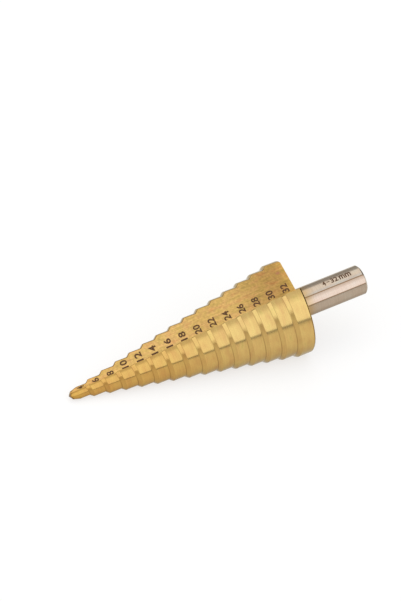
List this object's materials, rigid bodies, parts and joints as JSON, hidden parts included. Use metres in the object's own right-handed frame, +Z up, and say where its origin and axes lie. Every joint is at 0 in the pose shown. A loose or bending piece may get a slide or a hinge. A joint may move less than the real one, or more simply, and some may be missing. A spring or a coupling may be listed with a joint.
{
  "type": "step drill",
  "caption": "Stepped cone drill with straight flutes and a round flatted shank, for drilling and widening holes in sheet metal.",
  "frame": {"origin": "centre of the bounding box's footprint, on the surface that the drill lies on", "axes": "+X along the drill as it lies, towards the shank's end; +Z up; the axis of rotation rises by 9.2 degrees towards the shank"},
  "size_m": [0.1044, 0.0318, 0.0283],
  "materials": {
    "coated_steel": "gold titanium nitride coating on the cone, bare ground steel on the shank"
  },
  "bodies": {
    "root": {"step_drill": "coated_steel"}
  },
  "joints": []
}
